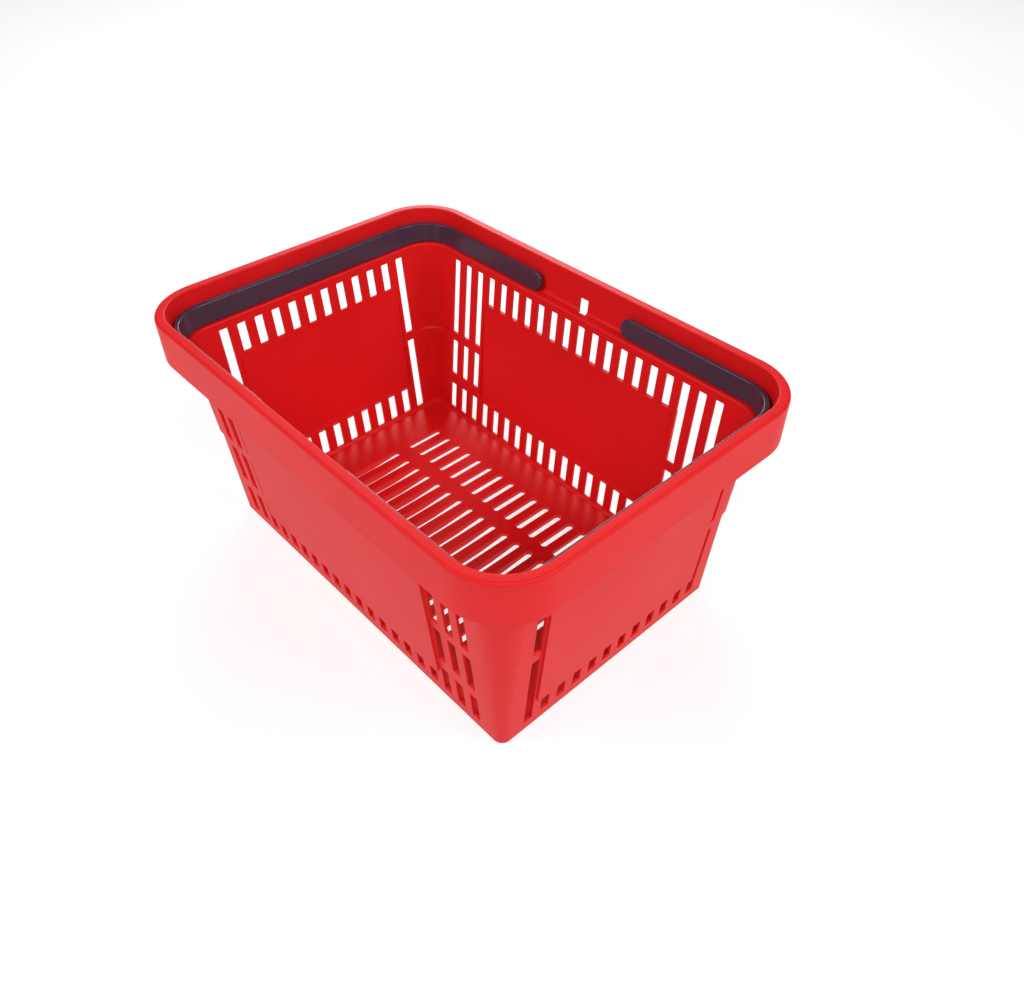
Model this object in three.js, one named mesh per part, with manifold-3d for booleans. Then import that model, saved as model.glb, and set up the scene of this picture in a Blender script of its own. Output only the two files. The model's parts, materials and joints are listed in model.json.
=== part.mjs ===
// A moulded two-handle shopping basket: one tub and two bail handles folded down inside the rim.
// Millimetres, +Z up. The origin is on the standing plane, under the middle of the basket.
// X runs along the long sides, Y along the short sides.
import * as THREE from "three";
import { mergeVertices } from "three/addons/utils/BufferGeometryUtils.js";
import Module from "manifold-3d";

const wasm = await Module();
wasm.setup();

// ---- driving dimensions ----
const HEIGHT = 218;
const RIM = { halfX: 225, halfY: 157.5, radius: 50 };
const LIP_WIDTH = 8.8; // flat top of the rim
const WALL = 2.5; // moulded wall thickness
const CORNER_STEPS = 4; // half the number of facets in a rounded corner

const SKIRT_DEPTH = 38; // apron that hangs outside the tub
const SKIRT_DRAFT = 0.1;
const LEDGE_DEPTH = 30.5; // shelf inside the rim that the handles rest on
const RECESS_DRAFT = 3;

const TUB_TOP = { halfX: 204.5, halfY: 138.9, radius: 31 }; // inner faces, carried up to the rim plane
const TUB_DRAFT_X = 0.097;
const TUB_DRAFT_Y = 0.089;
const TUB_CORNER_BOTTOM = 6;
const STEP_DEPTH = 121; // the tub steps in here, so that baskets nest
const STEP_IN = 1.5;
const OVERCUT = 1; // how far a cutter reaches past the face it opens
const RIM_OVERCUT = 0.01; // the same for the recess, whose sloping wall meets the rim there

const FLOOR_TOP_DEPTH = 210;
const FLOOR_THICKNESS = 3.5;

const SLOT_WIDTH = 8.3;
const LONG_COLUMNS = 20;
const LONG_PITCH = 16.74;
const LONG_TALL_COLUMNS = 3; // at each end of a long wall
const SHORT_COLUMNS = 12;
const SHORT_PITCH = 17.45;
const SHORT_TALL_COLUMNS = 1; // at each end of a short wall
const TOP_ROW = [38, 67.5]; // depths below the rim
const BOTTOM_ROW = [177.5, 207];
const LONG_UPPER = [38, 117];
const LONG_MIDDLE = [126, 165.5];
const SHORT_UPPER = [38, 118];
const SHORT_LOWER = [127, 207];

const SLOT_INSIDE = 6; // how far a slot's cutter starts inside the wall's foot
const SLOT_OUTSIDE = 8; // and how far it ends outside the wall's top

const PANEL_PROUD = 2.8; // plain panel that stands out of each wall
const PANEL = { top: 69, bottom: 176.8, longHalf: 120.6, shortHalf: 91 };

const FLOOR_SLOT = { width: 8, pitch: 16.4, perSide: 9, outerInset: 44.5, outerEnd: 85.8, middleHalf: 31.9 };

const HANDLE = {
  outerX: 212.2,
  outerY: 144.6,
  arm: 4.6,
  grip: 7,
  height: 17.5,
  cornerRadius: 37,
  innerRadius: 31,
  cornerSegments: 5,
  endSegments: 8,
};
const HANDLE_REST_GAP = 0.5; // handle over the ledge
const PIVOT = {
  x: 57,
  depth: LEDGE_DEPTH - HANDLE_REST_GAP - HANDLE.height / 2,
  studRadius: 4,
  holeRadius: 4.5,
  studLength: 4,
  segments: 24,
};
const RECESS_CUT = { inside: 3, outside: 7 }; // reach of a cutter either side of the recess wall's foot
const VENT = { centreX: 0, halfX: 5.2, top: 18.6, bottom: 33 };
const HINGE_VENT = { centreX: 62.5, halfX: 5.5, top: 27.5, bottom: 33 };
const SKIRT_NOTCHES = [
  { from: -18, to: 18, top: 24 },
  { from: 45.5, to: 61, top: 36.5 },
  { from: -61, to: -45.5, top: 36.5 },
];

// ---- materials ----
const redPlastic = new THREE.MeshStandardMaterial({ color: 0xdc2326, roughness: 0.38, metalness: 0 });
const darkPlastic = new THREE.MeshStandardMaterial({ color: 0x3a2636, roughness: 0.28, metalness: 0 });

// ---- solid helpers ----
function toSolid(geometry) {
  const bare = geometry.clone();
  bare.deleteAttribute("normal");
  bare.deleteAttribute("uv");
  const merged = mergeVertices(bare, 1e-4);
  const vertProperties = new Float32Array(merged.attributes.position.array);
  const triVerts = new Uint32Array(merged.index.array);
  return new wasm.Manifold(new wasm.Mesh({ numProp: 3, vertProperties, triVerts }));
}

function toGeometry(solid) {
  const mesh = solid.getMesh();
  const geometry = new THREE.BufferGeometry();
  geometry.setAttribute("position", new THREE.Float32BufferAttribute(mesh.vertProperties, 3));
  geometry.setIndex(new THREE.Uint32BufferAttribute(mesh.triVerts, 1));
  geometry.computeVertexNormals();
  return geometry;
}

function box(min, max) {
  const size = max.map((value, axis) => value - min[axis]);
  const geometry = new THREE.BoxGeometry(...size);
  geometry.translate(...min.map((value, axis) => value + size[axis] / 2));
  return toSolid(geometry);
}

const height = (depth) => HEIGHT - depth;

function roundedRectangle({ halfX, halfY, radius }) {
  const shape = new THREE.Shape();
  const quarter = Math.PI / 2;
  shape.absarc(halfX - radius, halfY - radius, radius, 0, quarter);
  shape.absarc(radius - halfX, halfY - radius, radius, quarter, 2 * quarter);
  shape.absarc(radius - halfX, radius - halfY, radius, 2 * quarter, 3 * quarter);
  shape.absarc(halfX - radius, radius - halfY, radius, 3 * quarter, 4 * quarter);
  shape.closePath();
  return shape;
}

// A rounded-rectangle block whose upper outline has its own half sizes and corner radius.
function taperedBlock(lower, upper) {
  const options = { depth: upper.z - lower.z, bevelEnabled: false, curveSegments: CORNER_STEPS };
  const geometry = new THREE.ExtrudeGeometry(roundedRectangle(lower), options);
  const remap = (value, from, to) => {
    const alongCorner = (Math.abs(value) - from.half + lower.radius) / lower.radius;
    return Math.sign(value) * (to.half - upper.radius + alongCorner * upper.radius);
  };
  const position = geometry.attributes.position;
  for (let i = 0; i < position.count; i += 1) {
    if (position.getZ(i) < options.depth / 2) continue;
    const x = remap(position.getX(i), { half: lower.halfX }, { half: upper.halfX });
    const y = remap(position.getY(i), { half: lower.halfY }, { half: upper.halfY });
    position.setXY(i, x, y);
  }
  geometry.translate(0, 0, lower.z);
  return toSolid(geometry);
}

// The rim outline, moved in by an inset, at a height.
function rimOutline(inset, z) {
  return { halfX: RIM.halfX - inset, halfY: RIM.halfY - inset, radius: RIM.radius - inset, z };
}

// The tub's inner outline at a depth below the rim, moved out by an offset.
function tubOutline(depth, offset) {
  const share = depth / HEIGHT;
  const radius = TUB_TOP.radius + (TUB_CORNER_BOTTOM - TUB_TOP.radius) * share;
  return {
    halfX: TUB_TOP.halfX - TUB_DRAFT_X * depth + offset,
    halfY: TUB_TOP.halfY - TUB_DRAFT_Y * depth + offset,
    radius: radius + offset,
    z: height(depth),
  };
}

function tubBlock(fromDepth, toDepth, offset) {
  return taperedBlock(tubOutline(toDepth, offset), tubOutline(fromDepth, offset));
}

// A prism on one wall: a profile of [distance out from the middle, height] points, extruded along the wall.
function wallPrism(profile, halfLength, turn) {
  const shape = new THREE.Shape(profile.map(([out, z]) => new THREE.Vector2(out, z)));
  const geometry = new THREE.ExtrudeGeometry(shape, { depth: 2 * halfLength, bevelEnabled: false });
  geometry.translate(0, 0, -halfLength);
  geometry.rotateX(Math.PI / 2); // profile now stands in X-Z and runs along Y
  geometry.rotateZ(turn);
  return toSolid(geometry);
}

const WALLS = [
  { turn: 0, half: TUB_TOP.halfX, draft: TUB_DRAFT_X, panelHalf: PANEL.shortHalf },
  { turn: Math.PI, half: TUB_TOP.halfX, draft: TUB_DRAFT_X, panelHalf: PANEL.shortHalf },
  { turn: Math.PI / 2, half: TUB_TOP.halfY, draft: TUB_DRAFT_Y, panelHalf: PANEL.longHalf },
  { turn: -Math.PI / 2, half: TUB_TOP.halfY, draft: TUB_DRAFT_Y, panelHalf: PANEL.longHalf },
];

function panelProfile(wall, offset, top, bottom) {
  const out = (depth) => wall.half - wall.draft * depth + offset;
  const inner = wall.half - wall.draft * PANEL.bottom - 2 * STEP_IN;
  return [
    [inner, height(bottom)],
    [out(bottom), height(bottom)],
    [out(top), height(top)],
    [inner, height(top)],
  ];
}

function addPanels(tub) {
  let result = tub;
  for (const wall of WALLS) {
    const outer = panelProfile(wall, WALL + PANEL_PROUD, PANEL.top, PANEL.bottom);
    result = result.add(wallPrism(outer, wall.panelHalf, wall.turn));
  }
  return result;
}

function cutPanels(tub) {
  let result = tub;
  for (const wall of WALLS) {
    const inner = panelProfile(wall, PANEL_PROUD, PANEL.top + WALL, PANEL.bottom - WALL);
    result = result.subtract(wallPrism(inner, wall.panelHalf - WALL, wall.turn));
  }
  return result;
}

// ---- slots ----
// Rows of [top, bottom] depths for one column of a wall with so many columns.
function rowsOf(column, columns, tallColumns, tallRows) {
  const fromEnd = Math.min(column, columns - 1 - column);
  return fromEnd < tallColumns ? tallRows : [TOP_ROW, BOTTOM_ROW];
}

function wallSlots() {
  const cutters = [];
  const half = SLOT_WIDTH / 2;
  const insideY = TUB_TOP.halfY - TUB_DRAFT_Y * HEIGHT - SLOT_INSIDE;
  const insideX = TUB_TOP.halfX - TUB_DRAFT_X * HEIGHT - SLOT_INSIDE;
  const outsideY = TUB_TOP.halfY + SLOT_OUTSIDE;
  const outsideX = TUB_TOP.halfX + SLOT_OUTSIDE;
  for (let column = 0; column < LONG_COLUMNS; column += 1) {
    const x = (column - (LONG_COLUMNS - 1) / 2) * LONG_PITCH;
    const rows = rowsOf(column, LONG_COLUMNS, LONG_TALL_COLUMNS, [LONG_UPPER, LONG_MIDDLE, BOTTOM_ROW]);
    for (const [top, bottom] of rows) {
      cutters.push(box([x - half, insideY, height(bottom)], [x + half, outsideY, height(top)]));
      cutters.push(box([x - half, -outsideY, height(bottom)], [x + half, -insideY, height(top)]));
    }
  }
  for (let column = 0; column < SHORT_COLUMNS; column += 1) {
    const y = (column - (SHORT_COLUMNS - 1) / 2) * SHORT_PITCH;
    const rows = rowsOf(column, SHORT_COLUMNS, SHORT_TALL_COLUMNS, [SHORT_UPPER, SHORT_LOWER]);
    for (const [top, bottom] of rows) {
      cutters.push(box([insideX, y - half, height(bottom)], [outsideX, y + half, height(top)]));
      cutters.push(box([-outsideX, y - half, height(bottom)], [-insideX, y + half, height(top)]));
    }
  }
  return cutters;
}

function floorSlots() {
  const cutters = [];
  const half = FLOOR_SLOT.width / 2;
  const low = height(FLOOR_TOP_DEPTH + FLOOR_THICKNESS + OVERCUT);
  const high = height(FLOOR_TOP_DEPTH - OVERCUT);
  const rows = [
    [-FLOOR_SLOT.outerEnd, -FLOOR_SLOT.outerInset],
    [-FLOOR_SLOT.middleHalf, FLOOR_SLOT.middleHalf],
    [FLOOR_SLOT.outerInset, FLOOR_SLOT.outerEnd],
  ];
  for (let column = 0; column < 2 * FLOOR_SLOT.perSide; column += 1) {
    const x = (column - FLOOR_SLOT.perSide + 0.5) * FLOOR_SLOT.pitch;
    for (const [from, to] of rows) {
      cutters.push(box([x - half, from, low], [x + half, to, high]));
    }
  }
  return cutters;
}

// Hinge holes and vents in the recess walls, and the notches in the far skirt behind them.
function rimOpenings() {
  const cutters = [];
  const recessFace = RIM.halfY - LIP_WIDTH - RECESS_DRAFT;
  const inner = recessFace - RECESS_CUT.inside;
  const outer = recessFace + RECESS_CUT.outside;
  const vents = [VENT, HINGE_VENT, { ...HINGE_VENT, centreX: -HINGE_VENT.centreX }];
  for (const side of [-1, 1]) {
    for (const { centreX, halfX, top, bottom } of vents) {
      const [low, high] = [side * inner, side * outer].sort((a, b) => a - b);
      cutters.push(box([centreX - halfX, low, height(bottom)], [centreX + halfX, high, height(top)]));
    }
    for (const x of [-PIVOT.x, PIVOT.x]) {
      cutters.push(pivotCylinder(PIVOT.holeRadius, x, side * inner, side * outer));
    }
  }
  const skirtInside = RIM.halfY - SKIRT_DRAFT - WALL - OVERCUT;
  const skirtOutside = RIM.halfY + OVERCUT;
  for (const { from, to, top } of SKIRT_NOTCHES) {
    cutters.push(box([from, skirtInside, height(SKIRT_DEPTH + OVERCUT)], [to, skirtOutside, height(top)]));
  }
  return cutters;
}

function pivotCylinder(radius, x, fromY, toY) {
  const geometry = new THREE.CylinderGeometry(radius, radius, Math.abs(toY - fromY), PIVOT.segments);
  geometry.translate(x, (fromY + toY) / 2, height(PIVOT.depth));
  return toSolid(geometry);
}

// ---- sub-parts ----
function basketBody() {
  const skirtLow = height(SKIRT_DEPTH);
  const skirt = taperedBlock(rimOutline(SKIRT_DRAFT, skirtLow), rimOutline(0, HEIGHT));
  const gapTop = HEIGHT - WALL;
  const gap = taperedBlock(rimOutline(SKIRT_DRAFT + WALL, skirtLow - OVERCUT), rimOutline(WALL, gapTop));
  const recessLow = rimOutline(LIP_WIDTH + RECESS_DRAFT, height(LEDGE_DEPTH));
  const recess = taperedBlock(recessLow, rimOutline(LIP_WIDTH, HEIGHT + RIM_OVERCUT));
  const shelfLow = rimOutline(LIP_WIDTH + RECESS_DRAFT - WALL, height(LEDGE_DEPTH + WALL));
  const shelf = taperedBlock(shelfLow, rimOutline(LIP_WIDTH - WALL, HEIGHT - WALL / 2));

  const upperOuter = tubBlock(LEDGE_DEPTH, STEP_DEPTH, WALL + STEP_IN / 2);
  const lowerOuter = tubBlock(STEP_DEPTH - WALL, HEIGHT, WALL - STEP_IN / 2);
  const upperInner = tubBlock(0, STEP_DEPTH - WALL, STEP_IN / 2);
  const lowerInner = tubBlock(STEP_DEPTH - 2 * WALL, FLOOR_TOP_DEPTH, -STEP_IN / 2);
  const underFloor = tubBlock(FLOOR_TOP_DEPTH + FLOOR_THICKNESS, HEIGHT + OVERCUT, -STEP_IN / 2);

  let body = skirt.subtract(gap).add(shelf).add(upperOuter).add(lowerOuter);
  body = addPanels(body);
  body = body.subtract(recess).subtract(upperInner).subtract(lowerInner).subtract(underFloor);
  body = cutPanels(body);
  for (const cutter of [...wallSlots(), ...floorSlots(), ...rimOpenings()]) {
    body = body.subtract(cutter);
  }
  return toGeometry(body);
}

// The left bail handle: a U in plan, upright bars, with a stud on the outer face of each arm end.
function bailHandle() {
  const endX = PIVOT.x - HANDLE.height / 2;
  const low = height(LEDGE_DEPTH) + HANDLE_REST_GAP;
  const plan = new THREE.Shape();
  const quarter = Math.PI / 2;
  const { outerX, outerY, arm, grip, cornerRadius, innerRadius } = HANDLE;
  const innerX = innerRadius + grip - outerX;
  const innerY = outerY - arm - innerRadius;
  plan.moveTo(-endX, -outerY);
  plan.lineTo(-endX, arm - outerY);
  plan.absarc(innerX, -innerY, innerRadius, 3 * quarter, 2 * quarter, true);
  plan.absarc(innerX, innerY, innerRadius, 2 * quarter, quarter, true);
  plan.lineTo(-endX, outerY - arm);
  plan.lineTo(-endX, outerY);
  plan.absarc(cornerRadius - outerX, outerY - cornerRadius, cornerRadius, quarter, 2 * quarter);
  plan.absarc(cornerRadius - outerX, cornerRadius - outerY, cornerRadius, 2 * quarter, 3 * quarter);
  plan.closePath();
  const barOptions = { depth: HANDLE.height, bevelEnabled: false, curveSegments: HANDLE.cornerSegments };
  const bar = new THREE.ExtrudeGeometry(plan, barOptions);
  bar.translate(0, 0, low);

  // Side view: the arm ends are round about the pivot.
  const side = new THREE.Shape();
  const endRadius = HANDLE.height / 2;
  const centreZ = low + endRadius;
  side.absarc(-PIVOT.x, centreZ, endRadius, -quarter, quarter, false);
  side.lineTo(-outerX - OVERCUT, low + HANDLE.height);
  side.lineTo(-outerX - OVERCUT, low);
  side.closePath();
  const sideWidth = 2 * (outerY + OVERCUT);
  const sideOptions = { depth: sideWidth, bevelEnabled: false, curveSegments: HANDLE.endSegments };
  const silhouette = new THREE.ExtrudeGeometry(side, sideOptions);
  silhouette.rotateX(quarter);
  silhouette.translate(0, sideWidth / 2, 0);

  let handle = toSolid(bar).intersect(toSolid(silhouette));
  for (const sign of [-1, 1]) {
    const from = sign * (outerY - OVERCUT);
    const to = sign * (outerY + PIVOT.studLength);
    handle = handle.add(pivotCylinder(PIVOT.studRadius, -PIVOT.x, from, to));
  }
  return toGeometry(handle);
}

function namedMesh(name, geometry, material) {
  const mesh = new THREE.Mesh(geometry, material);
  mesh.name = name;
  return mesh;
}

const basket = new THREE.Group();
basket.add(namedMesh("basket_body", basketBody(), redPlastic));
basket.add(namedMesh("left_handle", bailHandle(), darkPlastic));

const rightHandle = namedMesh("right_handle", bailHandle(), darkPlastic);
rightHandle.rotation.z = Math.PI;
basket.add(rightHandle);

export default basket;
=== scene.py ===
"""Looks for the shopping basket: a moulded tub and two bail handles.

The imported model's frame is in metres. Shapes are built in millimetres and scaled down at the end.
"""

import json
import math

import bmesh
import bpy
from mathutils import Matrix, Vector


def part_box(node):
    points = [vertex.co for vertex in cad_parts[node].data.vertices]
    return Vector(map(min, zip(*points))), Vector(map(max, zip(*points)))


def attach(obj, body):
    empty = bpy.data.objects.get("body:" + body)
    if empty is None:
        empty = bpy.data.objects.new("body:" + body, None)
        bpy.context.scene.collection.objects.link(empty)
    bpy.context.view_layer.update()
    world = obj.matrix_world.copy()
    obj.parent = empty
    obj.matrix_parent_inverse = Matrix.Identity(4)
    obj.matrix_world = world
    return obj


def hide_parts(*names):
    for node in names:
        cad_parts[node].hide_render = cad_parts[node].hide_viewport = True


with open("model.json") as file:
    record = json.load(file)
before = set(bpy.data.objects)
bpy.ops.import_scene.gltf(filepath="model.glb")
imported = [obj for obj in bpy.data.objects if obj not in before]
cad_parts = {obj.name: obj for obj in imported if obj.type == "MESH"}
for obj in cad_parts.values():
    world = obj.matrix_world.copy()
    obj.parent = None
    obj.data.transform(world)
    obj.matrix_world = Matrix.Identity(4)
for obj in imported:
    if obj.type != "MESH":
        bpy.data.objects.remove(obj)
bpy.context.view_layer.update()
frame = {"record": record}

MM = 0.001
body_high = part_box("basket_body")[1]
handle_low, handle_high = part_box("left_handle")
RIM_Z = body_high[2] / MM  # the rim plane, in millimetres over the standing plane
RIM_HALF_X = body_high[0] / MM
RIM_HALF_Y = body_high[1] / MM
JOINTS = frame["record"]["behaviour"]["joints"]
HINGE = next(joint for joint in JOINTS if joint["child"] == "left_bail")

# ---- camera ----
AZIMUTH = math.radians(47.2)
ELEVATION = math.radians(41.94)
CAMERA_DISTANCE = 0.7043
AIM = Vector((0.0839, -0.0167, body_high[2] - 0.090))
LENS, SENSOR_WIDTH = 31.64, 36.0
CLIP_NEAR, CLIP_FAR = 0.01, 50.0


def make_camera():
    data = bpy.data.cameras.new("camera")
    data.sensor_width = SENSOR_WIDTH
    data.lens = LENS
    data.clip_start = CLIP_NEAR
    data.clip_end = CLIP_FAR
    camera = bpy.data.objects.new("camera", data)
    bpy.context.scene.collection.objects.link(camera)
    level = math.cos(ELEVATION)
    back = Vector((math.sin(AZIMUTH) * level, -math.cos(AZIMUTH) * level, math.sin(ELEVATION)))
    camera.location = AIM + back * CAMERA_DISTANCE
    camera.rotation_mode = "QUATERNION"
    camera.rotation_quaternion = (-back).to_track_quat("-Z", "Y")
    bpy.context.scene.camera = camera


# ---- body dimensions, in millimetres ----
# Depths are measured down from the rim plane. Offsets are measured out from a wall's inner face.
RIM_RADIUS = 50.0
LIP_WIDTH = 8.8
LIP_INNER_EDGE, LIP_OUTER_EDGE = 1.2, 2.4
WALL = 2.5
SKIRT_DEPTH = 38.0
SKIRT_DRAFT = 0.1
SKIRT_EDGE, SKIRT_EDGE_STRETCH = 0.9, 1.4  # half round lower edge, wider than it is high
LEDGE_DEPTH = 30.5
LEDGE_EDGE = 1.6
RECESS_DRAFT = 3.0
RECESS_COVE = 3.0
SHELF_COVE = 2.0  # where the underside of the ledge meets the outside of the tub

TUB_HALF_X, TUB_HALF_Y = 204.5, 138.9  # inner faces, carried up to the rim plane
TUB_DRAFT_X, TUB_DRAFT_Y = 0.097, 0.089
TUB_RADIUS_TOP, TUB_RADIUS_BOTTOM = 31.0, 6.0
STEP_DEPTH = 120.5
STEP_IN = 1.6  # how far the corner posts step in at mid height, before it fades out to the foot
STEP_HEIGHT = 2.6
FLAT_HALF_X, FLAT_HALF_Y = 167.0, 103.0  # ends of the flat walls between the corner posts

FLOOR_DEPTH = 210.0
FLOOR_THICKNESS = 3.5
FLOOR_FILLET = 4.5
BASE_EDGE = 0.8

CORNER_SEGMENTS = 16
ROUNDING_STEPS = 4

SLOT_WIDTH = 8.3
SLOT_CORNER = 0.9
SLOT_CORNER_STEPS = 3
SLOT_CUT_INSIDE, SLOT_CUT_OUTSIDE = 6, 8  # how far the slot cutters pass each side of a wall
LONG_COLUMNS, LONG_PITCH, LONG_TALL = 20, 16.74, 3
SHORT_COLUMNS, SHORT_PITCH, SHORT_TALL = 12, 17.45, 1
LONG_TOP_ROW, SHORT_TOP_ROW, BOTTOM_ROW = (38.0, 67.8), (38.5, 65.5), (177.5, 207.0)
LONG_ROWS = ((38.0, 117.0), (126.0, 165.5), BOTTOM_ROW)
SHORT_ROWS = ((38.0, 118.0), (127.0, 207.0))

PANEL_PROUD = 2.8
PANEL_TOP = 69.0
PANEL_BOTTOM, PANEL_BOTTOM_BACK = 184.5, 178.8  # the lower edge slopes up towards the wall
PANEL_HALF_LONG, PANEL_HALF_SHORT = 120.2, 90.6
RECESS_TOP, RECESS_BOTTOM = 69.5, 176.0
RECESS_SHALLOW = 0.4  # the inside of a panel sinks in from this at the top to PANEL_PROUD
RECESS_INSET = 2.6

FLOOR_SLOT_WIDTH, FLOOR_PITCH, FLOOR_PER_SIDE = 7.6, 16.4, 9
FLOOR_SLOT_ROUNDNESS = 0.42  # corner radius over slot width
FLOOR_SLOT_STEPS = 4
FLOOR_OUTER_ROW = (44.5, 85.8)
FLOOR_MIDDLE_HALF = 31.9
BAR_DEPTH = 5.2  # the bars between the floor's slots are deeper than its plain borders
BAR_HALF_Y = 88.0
KEEL_DEPTH = 7.8
KEEL_HALF = 31.9
KEEL_LOW_SIDE = 0.0  # the keel is deepest from here to the -Y end of the middle slots
KEEL_PAST_SLOTS = 2.0

# Centre along the wall, half width, top depth, bottom depth.
VENT = (0.0, 5.2, 18.6, 33.0)
HINGE_VENT = (62.5, 5.5, 27.5, 33.0)
# Centre along the wall, half width, top depth.
SKIRT_NOTCHES = ((0.0, 18.0, 24.0), (53.25, 7.75, 36.5), (-53.25, 7.75, 36.5))
PIVOT_X = -HINGE["pos_m"][0] / MM
PIVOT_Z = HINGE["pos_m"][2] / MM
PIVOT_HOLE = 4.5
CIRCLE_STEPS = 32
VENT_CORNER, NOTCH_CORNER, OPENING_STEPS = 1.0, 1.5, 3
RECESS_CUT_INSIDE, RECESS_CUT_OUTSIDE = 3, 7  # how far the vents and holes cut past the recess face
OVERCUT = 1.0
NOTCH_CUT_BEHIND, NOTCH_CUT_BEYOND, NOTCH_CUT_BELOW = 1.5, 2, 4
EDGE_ROUNDING = 0.45
SHARP_ANGLE = 38  # degrees: flatter edges stay as they are
NORMAL_WEIGHT = 60


# ---- mesh helpers ----
def object_from(bm, name):
    """Turns a bmesh in millimetres into an object in metres."""
    bmesh.ops.recalc_face_normals(bm, faces=bm.faces)
    bmesh.ops.scale(bm, vec=(MM, MM, MM), verts=bm.verts)
    mesh = bpy.data.meshes.new(name)
    bm.to_mesh(mesh)
    bm.free()
    obj = bpy.data.objects.new(name, mesh)
    bpy.context.scene.collection.objects.link(obj)
    return obj


def apply_modifiers(obj):
    graph = bpy.context.evaluated_depsgraph_get()
    mesh = bpy.data.meshes.new_from_object(obj.evaluated_get(graph))
    obj.modifiers.clear()
    old = obj.data
    obj.data = mesh
    bpy.data.meshes.remove(old)


def combine(obj, other, operation):
    """Joins or cuts obj with other, and deletes other."""
    modifier = obj.modifiers.new("combine", "BOOLEAN")
    modifier.operation = operation
    modifier.solver = "EXACT"
    modifier.object = other
    apply_modifiers(obj)
    bpy.data.objects.remove(other)


def add_prism(bm, outline, place, near, far):
    """A closed prism with outline points (u, v) at two distances w.

    place(u, v, w) gives the position of a point.
    """
    rings = [[bm.verts.new(place(u, v, w)) for u, v in outline] for w in (near, far)]
    count = len(outline)
    for i in range(count):
        j = (i + 1) % count
        bm.faces.new((rings[0][i], rings[0][j], rings[1][j], rings[1][i]))
    bm.faces.new(rings[0][::-1])
    bm.faces.new(rings[1])


def rounded_outline(u0, u1, v0, v1, radius, steps):
    """A rectangle with rounded corners."""
    points = []
    corners = ((u1 - radius, v1 - radius, 0), (u0 + radius, v1 - radius, 1))
    corners += ((u0 + radius, v0 + radius, 2), (u1 - radius, v0 + radius, 3))
    for u, v, quarter in corners:
        for i in range(steps + 1):
            angle = (quarter + i / steps) * math.pi / 2
            points.append((u + radius * math.cos(angle), v + radius * math.sin(angle)))
    return points


def wall_places():
    """Each wall's (is it long, function from (along, height, distance out) to a point)."""
    return (
        (True, lambda u, v, w: (u, w, v)),
        (True, lambda u, v, w: (u, -w, v)),
        (False, lambda u, v, w: (w, u, v)),
        (False, lambda u, v, w: (-w, u, v)),
    )


# ---- the tub's shell ----
def rim_ring(inset, depth):
    """One closed outline: half sizes, corner radius and height."""
    return (RIM_HALF_X - inset, RIM_HALF_Y - inset, RIM_RADIUS - inset, RIM_Z - depth)


def tub_ring(depth, offset):
    radius = TUB_RADIUS_TOP + (TUB_RADIUS_BOTTOM - TUB_RADIUS_TOP) * depth / RIM_Z
    half_x = TUB_HALF_X - TUB_DRAFT_X * depth + offset
    half_y = TUB_HALF_Y - TUB_DRAFT_Y * depth + offset
    return (half_x, half_y, radius + offset, RIM_Z - depth)


def rounding(radius, start_degrees, turn_degrees):
    """Offsets (out, up) along an arc of a rounded edge, about its centre."""
    for i in range(ROUNDING_STEPS + 1):
        angle = math.radians(start_degrees + turn_degrees * i / ROUNDING_STEPS)
        yield radius * math.cos(angle), radius * math.sin(angle)


def step_rings(extra):
    """The step of the corner posts: a short slope between two straight stretches."""
    shares = (0.0, 0.25, 0.5, 0.75, 1.0)
    return [tub_ring(STEP_DEPTH + (share - 0.5) * STEP_HEIGHT, extra) for share in shares]


def post_inset(depth):
    """How far a corner post stands back from the walls beside it."""
    share = min(max((depth - STEP_DEPTH) / STEP_HEIGHT + 0.5, 0.0), 1.0)
    fade = min(max((RIM_Z - depth) / (RIM_Z - STEP_DEPTH), 0.0), 1.0)
    return STEP_IN * share * share * (3 - 2 * share) * fade


def inner_rings():
    """From the floor's edge up the inside of the tub, over the ledge and up the recess to the lip."""
    rings = []
    for out, up in rounding(FLOOR_FILLET, -90, 90):
        rings.append(tub_ring(FLOOR_DEPTH - FLOOR_FILLET - up, out - FLOOR_FILLET))
    rings += step_rings(0.0)[::-1]
    for out, up in rounding(LEDGE_EDGE, 180, -90):
        rings.append(tub_ring(LEDGE_DEPTH + LEDGE_EDGE - up, LEDGE_EDGE + out))
    inset = LIP_WIDTH + RECESS_DRAFT
    for out, up in rounding(RECESS_COVE, -90, 90):
        rings.append(rim_ring(inset + RECESS_COVE - out, LEDGE_DEPTH - RECESS_COVE - up))
    for out, up in rounding(LIP_INNER_EDGE, 180, -90):
        rings.append(rim_ring(LIP_WIDTH - LIP_INNER_EDGE - out, LIP_INNER_EDGE - up))
    return rings


def outer_rings():
    """From the lip down the skirt, up inside it, and down the outside of the tub to the foot."""
    edge = LIP_OUTER_EDGE
    rings = [rim_ring(edge - out, edge - up) for out, up in rounding(edge, 90, -90)]
    foot, stretch = SKIRT_EDGE, SKIRT_EDGE_STRETCH
    for out, up in rounding(foot, 0, -180):
        rings.append(rim_ring(SKIRT_DRAFT + foot * stretch - out * stretch, SKIRT_DEPTH - foot - up))
    rings.append(rim_ring(WALL, WALL))
    rings.append(rim_ring(LIP_WIDTH - WALL, WALL))
    inset = LIP_WIDTH + RECESS_DRAFT - WALL
    rings.append(rim_ring(inset, LEDGE_DEPTH + WALL))
    rings.append(tub_ring(LEDGE_DEPTH + WALL, WALL + SHELF_COVE))
    rings.append(tub_ring(LEDGE_DEPTH + WALL + SHELF_COVE, WALL))
    rings += step_rings(WALL)
    for out, up in rounding(BASE_EDGE, 0, -90):
        rings.append(tub_ring(RIM_Z - BASE_EDGE - up, WALL - BASE_EDGE + out))
    rings.append(tub_ring(RIM_Z, 0.0))
    rings.append(tub_ring(FLOOR_DEPTH + FLOOR_THICKNESS, 0.0))
    return rings


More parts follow.
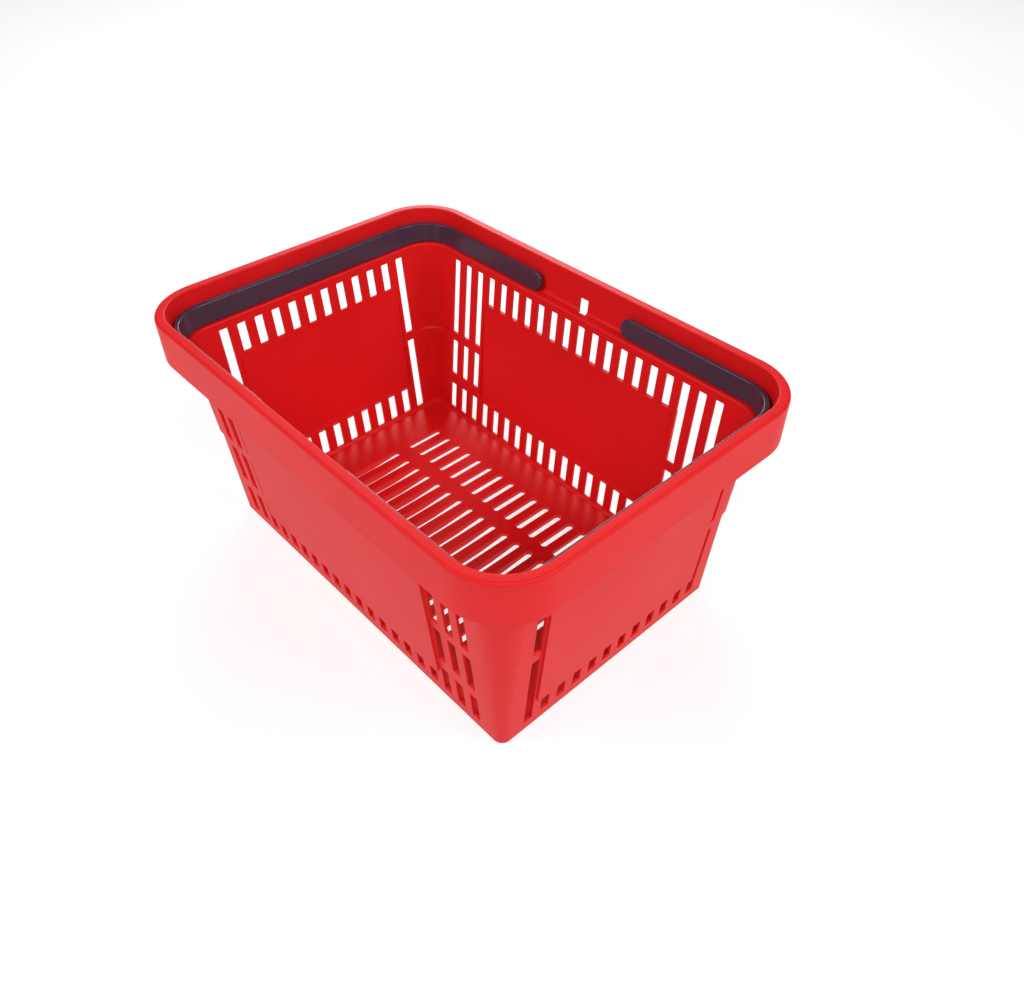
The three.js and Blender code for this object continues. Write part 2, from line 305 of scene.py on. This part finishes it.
def ring_points(half_x, half_y, radius, z):
    """The points of a ring, corner by corner. Each has a flat wall's end before and after it."""
    inset = post_inset(RIM_Z - z)
    for quarter, (sx, sy) in enumerate(((1, 1), (-1, 1), (-1, -1), (1, -1))):
        ends = [(sx * half_x, sy * FLAT_HALF_Y, z), (sx * FLAT_HALF_X, sy * half_y, z)]
        if quarter % 2:
            ends.reverse()
        yield ends[0]
        for i in range(CORNER_SEGMENTS + 1):
            angle = (quarter + i / CORNER_SEGMENTS) * math.pi / 2
            x = sx * (half_x - radius) + (radius - inset) * math.cos(angle)
            y = sy * (half_y - radius) + (radius - inset) * math.sin(angle)
            yield (x, y, z)
        yield ends[1]


def make_shell():
    bm = bmesh.new()
    rings = inner_rings() + outer_rings()
    loops = [[bm.verts.new(point) for point in ring_points(*ring)] for ring in rings]
    count = len(loops[0])
    for lower, upper in zip(loops, loops[1:]):
        for i in range(count):
            j = (i + 1) % count
            bm.faces.new((lower[i], lower[j], upper[j], upper[i]))
    bm.faces.new(loops[0])
    bm.faces.new(loops[-1])
    return object_from(bm, "basket_tub")


# ---- panels, keel and cut-outs ----
def wall_out(is_long, depth, offset):
    """How far out from the middle a wall is at a depth."""
    half, draft = (TUB_HALF_Y, TUB_DRAFT_Y) if is_long else (TUB_HALF_X, TUB_DRAFT_X)
    return half - draft * depth + offset


def panel_prisms(section, inset):
    """A block on each wall. section is its outline from the side, as (depth, offset)."""
    bm = bmesh.new()
    for is_long, place in wall_places():
        half = (PANEL_HALF_LONG if is_long else PANEL_HALF_SHORT) - inset
        profile = [(wall_out(is_long, depth, offset), RIM_Z - depth) for depth, offset in section]
        add_prism(bm, profile, lambda w, v, u, place=place: place(u, v, w), -half, half)
    return object_from(bm, "panels")


def keel():
    """The bars between the floor's slots stand down under it, deepest in the middle row."""
    bm = bmesh.new()
    half_length = FLOOR_PITCH * FLOOR_PER_SIDE + KEEL_PAST_SLOTS
    top = RIM_Z - FLOOR_DEPTH - FLOOR_THICKNESS / 2
    under = RIM_Z - FLOOR_DEPTH - BAR_DEPTH
    low = RIM_Z - FLOOR_DEPTH - KEEL_DEPTH
    profile = [(-BAR_HALF_Y, top), (-BAR_HALF_Y, under)]
    profile += [(-KEEL_HALF - (KEEL_DEPTH - BAR_DEPTH), under), (-KEEL_HALF, low)]
    profile += [(KEEL_LOW_SIDE, low), (KEEL_HALF, under), (BAR_HALF_Y, under), (BAR_HALF_Y, top)]
    add_prism(bm, profile, lambda v, w, u: (u, v, w), -half_length, half_length)
    return object_from(bm, "keel")


def slot_cutters():
    bm = bmesh.new()
    for is_long, place in wall_places():
        columns, pitch, tall, tall_rows, top_row = (
            (LONG_COLUMNS, LONG_PITCH, LONG_TALL, LONG_ROWS, LONG_TOP_ROW)
            if is_long
            else (SHORT_COLUMNS, SHORT_PITCH, SHORT_TALL, SHORT_ROWS, SHORT_TOP_ROW)
        )
        near = wall_out(is_long, RIM_Z, -SLOT_CUT_INSIDE)
        far = wall_out(is_long, 0, SLOT_CUT_OUTSIDE)
        for column in range(columns):
            centre = (column - (columns - 1) / 2) * pitch
            u0, u1 = centre - SLOT_WIDTH / 2, centre + SLOT_WIDTH / 2
            from_end = min(column, columns - 1 - column)
            for top, bottom in tall_rows if from_end < tall else (top_row, BOTTOM_ROW):
                v0, v1 = RIM_Z - bottom, RIM_Z - top
                outline = rounded_outline(u0, u1, v0, v1, SLOT_CORNER, SLOT_CORNER_STEPS)
                add_prism(bm, outline, place, near, far)
    return object_from(bm, "slots")


def floor_cutters():
    bm = bmesh.new()
    opposite_row = tuple(-v for v in FLOOR_OUTER_ROW[::-1])
    rows = (FLOOR_OUTER_ROW, (-FLOOR_MIDDLE_HALF, FLOOR_MIDDLE_HALF), opposite_row)
    radius = FLOOR_SLOT_WIDTH * FLOOR_SLOT_ROUNDNESS
    for column in range(2 * FLOOR_PER_SIDE):
        x = (column - FLOOR_PER_SIDE + 0.5) * FLOOR_PITCH
        for y0, y1 in rows:
            u0, u1 = x - FLOOR_SLOT_WIDTH / 2, x + FLOOR_SLOT_WIDTH / 2
            outline = rounded_outline(u0, u1, y0, y1, radius, FLOOR_SLOT_STEPS)
            add_prism(bm, outline, lambda u, v, w: (u, v, w), -OVERCUT, RIM_Z - FLOOR_DEPTH + OVERCUT)
    return object_from(bm, "floor_slots")


def circle(x, radius):
    """A round outline about the pivots' height."""
    turns = [2 * math.pi * i / CIRCLE_STEPS for i in range(CIRCLE_STEPS)]
    return [(x + radius * math.cos(a), PIVOT_Z + radius * math.sin(a)) for a in turns]


def rim_cutters():
    """The vents and pivot holes of both recess walls, and the notches in the far skirt."""
    bm = bmesh.new()
    face = RIM_HALF_Y - LIP_WIDTH - RECESS_DRAFT
    near, far = face - RECESS_CUT_INSIDE, face + RECESS_CUT_OUTSIDE
    for is_long, place in wall_places():
        if not is_long:
            continue
        for centre, half, top, bottom in (VENT, HINGE_VENT, (-HINGE_VENT[0], *HINGE_VENT[1:])):
            v0, v1 = RIM_Z - bottom, RIM_Z - top
            outline = rounded_outline(centre - half, centre + half, v0, v1, VENT_CORNER, OPENING_STEPS)
            add_prism(bm, outline, place, near, far)
        for x in (-PIVOT_X, PIVOT_X):
            add_prism(bm, circle(x, PIVOT_HOLE), place, near, far)
    far_place = wall_places()[0][1]
    near = RIM_HALF_Y - SKIRT_DRAFT - WALL - NOTCH_CUT_BEHIND
    for centre, half, top in SKIRT_NOTCHES:
        v0, v1 = RIM_Z - SKIRT_DEPTH - NOTCH_CUT_BELOW, RIM_Z - top
        outline = rounded_outline(centre - half, centre + half, v0, v1, NOTCH_CORNER, OPENING_STEPS)
        add_prism(bm, outline, far_place, near, RIM_HALF_Y + NOTCH_CUT_BEYOND)
    return object_from(bm, "rim_openings")


def round_edges(obj, width, segments=2):
    """Rounds the sharp edges, and keeps flat faces looking flat."""
    bevel = obj.modifiers.new("edges", "BEVEL")
    bevel.width = width * MM
    bevel.segments = segments
    bevel.limit_method = "ANGLE"
    bevel.angle_limit = math.radians(SHARP_ANGLE)
    bevel.use_clamp_overlap = False
    bevel.miter_outer = "MITER_SHARP"
    apply_modifiers(obj)
    for polygon in obj.data.polygons:
        polygon.use_smooth = True
    normals = obj.modifiers.new("normals", "WEIGHTED_NORMAL")
    normals.keep_sharp = True
    normals.weight = NORMAL_WEIGHT


def make_tub():
    """The slots are cut before the panels are joined, so that the panels close their upper ends."""
    tub = make_shell()
    combine(tub, keel(), "UNION")
    combine(tub, slot_cutters(), "DIFFERENCE")
    back, front = WALL / 2, WALL + PANEL_PROUD
    block = ((PANEL_TOP, back), (PANEL_TOP, front), (PANEL_BOTTOM, front), (PANEL_BOTTOM_BACK, back))
    combine(tub, panel_prisms(block, 0.0), "UNION")
    recess = ((RECESS_TOP, -WALL), (RECESS_TOP, RECESS_SHALLOW))
    recess += ((RECESS_BOTTOM, PANEL_PROUD), (RECESS_BOTTOM, -WALL))
    combine(tub, panel_prisms(recess, RECESS_INSET), "DIFFERENCE")
    combine(tub, floor_cutters(), "DIFFERENCE")
    combine(tub, rim_cutters(), "DIFFERENCE")
    round_edges(tub, EDGE_ROUNDING)
    return tub


# ---- handles, in millimetres ----
HANDLE_OUTER_X = -handle_low[0] / MM
HANDLE_OUTER_Y = 144.6
HANDLE_LOW = handle_low[2] / MM
HANDLE_HIGH = handle_high[2] / MM
BAR_HEIGHT = HANDLE_HIGH - HANDLE_LOW
ARM_TOP, ARM_BOTTOM = 3.6, 5.0  # thickness of an arm at its top and bottom edge
GRIP_TOP, GRIP_BOTTOM = 5.2, 8.0
HANDLE_RADIUS = 37.0
HANDLE_CORNER_SEGMENTS = 16
STUD_RADIUS = 4.0
STUD_LENGTH = 4.0
STUD_OVERLAP = 1
GROOVE_WIDTH, GROOVE_DEPTH, GROOVE_HALF = 1.9, 0.7, 100.0
GROOVE_ROUNDNESS, GROOVE_STEPS = 0.45, 4  # corner radius over width
ARM_END_STEPS = 24
CUT_BEYOND = 2  # how far the handle's cutters pass its faces
HANDLE_EDGE = 0.8
HANDLE_EDGE_SEGMENTS = 3


def handle_path():
    """Half of the bail's outer face from above.

    Each point is (x, y, inward normal's x, its y, share of the way from arm to grip).
    """
    end = -(PIVOT_X - BAR_HEIGHT / 2)
    centre_x, centre_y = HANDLE_RADIUS - HANDLE_OUTER_X, HANDLE_OUTER_Y - HANDLE_RADIUS
    path = [(end, HANDLE_OUTER_Y, 0.0, -1.0, 0.0)]
    for i in range(HANDLE_CORNER_SEGMENTS + 1):
        share = i / HANDLE_CORNER_SEGMENTS
        angle = math.pi / 2 * (1 + share)
        across, along = math.cos(angle), math.sin(angle)
        x, y = centre_x + HANDLE_RADIUS * across, centre_y + HANDLE_RADIUS * along
        path.append((x, y, -across, -along, share * share * (3 - 2 * share)))
    return path


def handle_bar():
    """The bail as a bar swept round its path, thinner at the top than at the bottom."""
    half = handle_path()
    path = half + [(x, -y, nx, -ny, share) for x, y, nx, ny, share in half[::-1]]
    bm = bmesh.new()
    rings = []
    for x, y, nx, ny, share in path:
        top = ARM_TOP + (GRIP_TOP - ARM_TOP) * share
        bottom = ARM_BOTTOM + (GRIP_BOTTOM - ARM_BOTTOM) * share
        corners = ((0.0, HANDLE_LOW), (bottom, HANDLE_LOW), (top, HANDLE_HIGH))
        corners += ((0.0, HANDLE_HIGH),)
        rings.append([bm.verts.new((x + nx * inset, y + ny * inset, z)) for inset, z in corners])
    for near, far in zip(rings, rings[1:]):
        for i in range(4):
            j = (i + 1) % 4
            bm.faces.new((near[i], near[j], far[j], far[i]))
    bm.faces.new(rings[0][::-1])
    bm.faces.new(rings[-1])
    return object_from(bm, "handle_bar")


def arm_end_block():
    """Side view of the handle: the arm ends are half round about the pivot."""
    radius = BAR_HEIGHT / 2
    beyond = -HANDLE_OUTER_X - CUT_BEYOND
    turns = [math.pi * (i / ARM_END_STEPS - 0.5) for i in range(ARM_END_STEPS + 1)]
    outline = [(beyond, PIVOT_Z - radius)]
    outline += [(radius * math.cos(a) - PIVOT_X, PIVOT_Z + radius * math.sin(a)) for a in turns]
    outline.append((beyond, PIVOT_Z + radius))
    side = HANDLE_OUTER_Y + CUT_BEYOND
    bm = bmesh.new()
    add_prism(bm, outline, lambda u, v, w: (u, w, v), -side, side)
    return object_from(bm, "arm_ends")


def studs():
    outline = circle(-PIVOT_X, STUD_RADIUS)
    bm = bmesh.new()
    for sign in (-1, 1):
        near, far = sign * (HANDLE_OUTER_Y - STUD_OVERLAP), sign * (HANDLE_OUTER_Y + STUD_LENGTH)
        add_prism(bm, outline, lambda u, v, w: (u, w, v), near, far)
    return object_from(bm, "studs")


def groove():
    """A shallow groove along the top of the grip."""
    middle = GRIP_TOP / 2 - HANDLE_OUTER_X
    near, far = middle - GROOVE_WIDTH / 2, middle + GROOVE_WIDTH / 2
    radius = GROOVE_WIDTH * GROOVE_ROUNDNESS
    outline = rounded_outline(near, far, -GROOVE_HALF, GROOVE_HALF, radius, GROOVE_STEPS)
    low, high = HANDLE_HIGH - GROOVE_DEPTH, HANDLE_HIGH + CUT_BEYOND
    bm = bmesh.new()
    add_prism(bm, outline, lambda u, v, w: (u, v, w), low, high)
    return object_from(bm, "groove")


def make_handle(name, turn):
    """The left bail, turned about the vertical by turn."""
    handle = handle_bar()
    combine(handle, arm_end_block(), "INTERSECT")
    combine(handle, studs(), "UNION")
    combine(handle, groove(), "DIFFERENCE")
    handle.name = name
    handle.data.transform(Matrix.Rotation(turn, 4, "Z"))
    round_edges(handle, HANDLE_EDGE, HANDLE_EDGE_SEGMENTS)
    return handle


# ---- materials ----
# Noise scales are in waves per metre, with their levels of detail.
FLOW_SCALE, FLOW_DETAIL = 9.0, 3.0
PATCH_SCALE, PATCH_DETAIL = 28.0, 4.0
WAVE_SCALE, WAVE_DETAIL = 60.0, 1.0
GRAIN_DETAIL = 2.0
GRAIN_SHARE = 0.5
BUMP_DISTANCE = 0.0002
RED_SHADES = ((0.68, 0.006, 0.008), (0.73, 0.008, 0.010))
RED_GLOSS = {"roughness": (0.46, 0.54), "specular": 0.22}
RED_GRAIN = {"grain_strength": 0.10, "grain_scale": 900.0}
DARK_SHADES = ((0.044, 0.028, 0.051), (0.054, 0.034, 0.061))
DARK_GLOSS = {"roughness": (0.24, 0.32), "specular": 0.5}
DARK_GRAIN = {"grain_strength": 0.08, "grain_scale": 700.0}


def new_material(name):
    material = bpy.data.materials.new(name)
    material.use_nodes = True
    nodes, links = material.node_tree.nodes, material.node_tree.links
    return material, nodes, links, nodes["Principled BSDF"]


def noise(nodes, links, coordinates, scale, detail=2.0):
    node = nodes.new("ShaderNodeTexNoise")
    node.inputs["Scale"].default_value = scale
    node.inputs["Detail"].default_value = detail
    links.new(coordinates, node.inputs["Vector"])
    return node.outputs["Fac"]


def ramp(nodes, links, factor, stops):
    node = nodes.new("ShaderNodeValToRGB")
    elements = node.color_ramp.elements
    while len(elements) < len(stops):
        elements.new(0.5)
    for element, (position, colour) in zip(elements, stops):
        element.position = position
        element.color = (*colour, 1.0)
    links.new(factor, node.inputs["Fac"])
    return node.outputs["Color"]


def value_range(nodes, links, factor, low, high):
    node = nodes.new("ShaderNodeMapRange")
    node.inputs["To Min"].default_value = low
    node.inputs["To Max"].default_value = high
    links.new(factor, node.inputs["Value"])
    return node.outputs["Result"]


def plastic(name, shades, roughness, specular, grain_strength, grain_scale):
    """Moulded plastic: faint flow marks in the colour, uneven gloss, and the mould's fine grain."""
    material, nodes, links, shader = new_material(name)
    place = nodes.new("ShaderNodeTexCoord").outputs["Object"]
    flow = noise(nodes, links, place, FLOW_SCALE, FLOW_DETAIL)
    colour = ramp(nodes, links, flow, ((0.3, shades[0]), (0.7, shades[1])))
    links.new(colour, shader.inputs["Base Color"])
    patches = noise(nodes, links, place, PATCH_SCALE, PATCH_DETAIL)
    gloss = value_range(nodes, links, patches, roughness[0], roughness[1])
    links.new(gloss, shader.inputs["Roughness"])
    shader.inputs["Specular IOR Level"].default_value = specular
    grain = noise(nodes, links, place, grain_scale, GRAIN_DETAIL)
    wave = noise(nodes, links, place, WAVE_SCALE, WAVE_DETAIL)
    mix = nodes.new("ShaderNodeMath")
    mix.operation = "MULTIPLY_ADD"
    mix.inputs[1].default_value = GRAIN_SHARE
    links.new(grain, mix.inputs[0])
    links.new(wave, mix.inputs[2])
    bump = nodes.new("ShaderNodeBump")
    bump.inputs["Strength"].default_value = grain_strength
    bump.inputs["Distance"].default_value = BUMP_DISTANCE
    links.new(mix.outputs["Value"], bump.inputs["Height"])
    links.new(bump.outputs["Normal"], shader.inputs["Normal"])
    return material


# ---- studio ----
FLOOR_HALF_SIZE = 6.0
FLOOR_Z = -0.0004
FLOOR_GREYS = ((0.3, (0.24, 0.24, 0.24)), (0.7, (0.26, 0.26, 0.26)))
FLOOR_NOISE_SCALE = 2.0
FLOOR_ROUGHNESS = 0.8
FLOOR_GLOW = 0.76
WORLD_STRENGTH = 0.12
WHITE = (1.0, 1.0, 1.0, 1.0)
LIGHTS_AIM = (0.0, 0.0, 0.1)
# Name, position, diameter, watts.
LIGHTS = (
    ("key", (1.25, -0.95, 1.75), 1.1, 18),
    ("left", (-0.7, -1.7, 1.6), 1.1, 24),
    ("right", (1.7, 0.7, 1.6), 1.1, 26),
    ("back", (-1.5, 1.35, 1.15), 1.2, 26),
)


def make_floor():
    bm = bmesh.new()
    bmesh.ops.create_grid(bm, x_segments=1, y_segments=1, size=FLOOR_HALF_SIZE)
    mesh = bpy.data.meshes.new("studio_floor")
    bm.to_mesh(mesh)
    bm.free()
    floor = bpy.data.objects.new("studio_floor", mesh)
    floor.location.z = FLOOR_Z
    bpy.context.scene.collection.objects.link(floor)
    material, nodes, links, shader = new_material("studio_white")
    place = nodes.new("ShaderNodeTexCoord").outputs["Object"]
    tone = noise(nodes, links, place, FLOOR_NOISE_SCALE)
    links.new(ramp(nodes, links, tone, FLOOR_GREYS), shader.inputs["Base Color"])
    shader.inputs["Roughness"].default_value = FLOOR_ROUGHNESS
    shader.inputs["Emission Color"].default_value = WHITE
    shader.inputs["Emission Strength"].default_value = FLOOR_GLOW
    mesh.materials.append(material)


def add_area_light(name, position, target, size, power):
    data = bpy.data.lights.new(name, "AREA")
    data.shape = "DISK"
    data.size = size
    data.energy = power
    light = bpy.data.objects.new(name, data)
    light.location = position
    light.rotation_mode = "QUATERNION"
    light.rotation_quaternion = (Vector(target) - Vector(position)).to_track_quat("-Z", "Y")
    bpy.context.scene.collection.objects.link(light)


def make_lights():
    world = bpy.data.worlds.new("studio")
    world.use_nodes = True
    background = world.node_tree.nodes["Background"]
    background.inputs["Color"].default_value = WHITE
    background.inputs["Strength"].default_value = WORLD_STRENGTH
    bpy.context.scene.world = world
    bpy.context.scene.view_settings.view_transform = "Standard"
    for name, position, size, power in LIGHTS:
        add_area_light(name, position, LIGHTS_AIM, size, power)


make_camera()
make_lights()
make_floor()

red = plastic("red_polypropylene", RED_SHADES, **RED_GLOSS, **RED_GRAIN)
dark = plastic("dark_handle_plastic", DARK_SHADES, **DARK_GLOSS, **DARK_GRAIN)

tub = make_tub()
tub.data.materials.clear()
tub.data.materials.append(red)
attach(tub, "basket")
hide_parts("basket_body")

for side, body, turn in (("left", "left_bail", 0.0), ("right", "right_bail", math.pi)):
    handle = make_handle(side + "_bail_handle", turn)
    handle.data.materials.clear()
    handle.data.materials.append(dark)
    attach(handle, body)
    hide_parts(side + "_handle")
